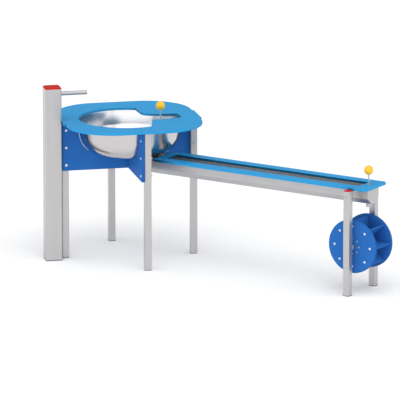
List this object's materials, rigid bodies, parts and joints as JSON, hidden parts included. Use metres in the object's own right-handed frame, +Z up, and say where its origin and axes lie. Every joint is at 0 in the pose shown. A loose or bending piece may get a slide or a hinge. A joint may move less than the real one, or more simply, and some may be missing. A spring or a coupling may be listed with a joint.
{
  "type": "sand and water table",
  "caption": "Playground table with a round steel bowl in a board rim, a water post with a spout, and a long trough with lift-out plugs that drains onto a paddle wheel.",
  "frame": {"origin": "on the ground, in the middle of the footprint", "axes": "+X along the trough from the basin to the wheel, +Y to the back, +Z up"},
  "size_m": [2.2132, 0.9376, 1.0365],
  "materials": {
    "aluminium": "satin anodised",
    "light_blue_board": "satin polyethylene board with a fine grain",
    "dark_blue_board": "satin polyethylene board with a fine grain",
    "mirror_steel": "polished stainless steel",
    "stainless_steel": "brushed",
    "red_plastic": "semi-gloss",
    "yellow_plastic": "gloss",
    "black_rubber": "matte"
  },
  "bodies": {
    "base": {"water_post": "aluminium", "post_cap": "red_plastic", "post_foot": "black_rubber", "spout_pipe": "stainless_steel", "riser_pipe": "stainless_steel", "leg_left": "aluminium", "leg_front": "aluminium", "leg_right": "aluminium", "leg_back": "aluminium", "foot_left": "black_rubber", "foot_front": "black_rubber", "foot_right": "black_rubber", "foot_back": "black_rubber", "panel_long": "dark_blue_board", "panel_cross": "dark_blue_board", "rim_front": "light_blue_board", "rim_back": "light_blue_board", "bowl": "mirror_steel", "drain_fitting": "stainless_steel", "drain_lip": "stainless_steel", "drain_nut": "stainless_steel", "basin_guide": "stainless_steel", "trough_channel": "stainless_steel", "trough_end_basin": "stainless_steel", "trough_end_wheel": "stainless_steel", "trough_frame": "light_blue_board", "trough_outlet": "stainless_steel", "trough_guide": "stainless_steel", "hanger_bracket": "stainless_steel", "end_leg_front": "aluminium", "end_leg_back": "aluminium", "end_foot_front": "black_rubber", "end_foot_back": "black_rubber", "end_cap_front": "red_plastic", "end_cap_back": "red_plastic", "leg_bracket_front": "stainless_steel", "leg_bracket_back": "stainless_steel", "bearing_front": "stainless_steel", "bearing_back": "stainless_steel"},
    "basin_valve": {"basin_plug": "black_rubber", "basin_rod": "stainless_steel", "basin_knob": "yellow_plastic"},
    "trough_valve": {"trough_plug": "black_rubber", "trough_rod": "stainless_steel", "trough_knob": "yellow_plastic"},
    "wheel": {"axle": "stainless_steel", "hub": "dark_blue_board", "collar_front": "stainless_steel", "collar_back": "stainless_steel", "wheel_disc_front": "dark_blue_board", "wheel_disc_back": "dark_blue_board", "paddle_1": "dark_blue_board", "paddle_2": "dark_blue_board", "paddle_3": "dark_blue_board", "paddle_4": "dark_blue_board", "paddle_5": "dark_blue_board", "paddle_6": "dark_blue_board", "paddle_7": "dark_blue_board", "paddle_8": "dark_blue_board"}
  },
  "joints": [
    {"name": "wheel_spin", "type": "hinge", "parent": "base", "child": "wheel", "pos_m": [0.94956, 0, 0.281], "axis": [0, 1, 0], "continuous": true},
    {"name": "basin_plug_lift", "type": "slide", "parent": "base", "child": "basin_valve", "axis": [0, 0, 1], "range_m": [0, 0.15]},
    {"name": "trough_plug_lift", "type": "slide", "parent": "base", "child": "trough_valve", "axis": [0, 0, 1], "range_m": [0, 0.07]}
  ]
}
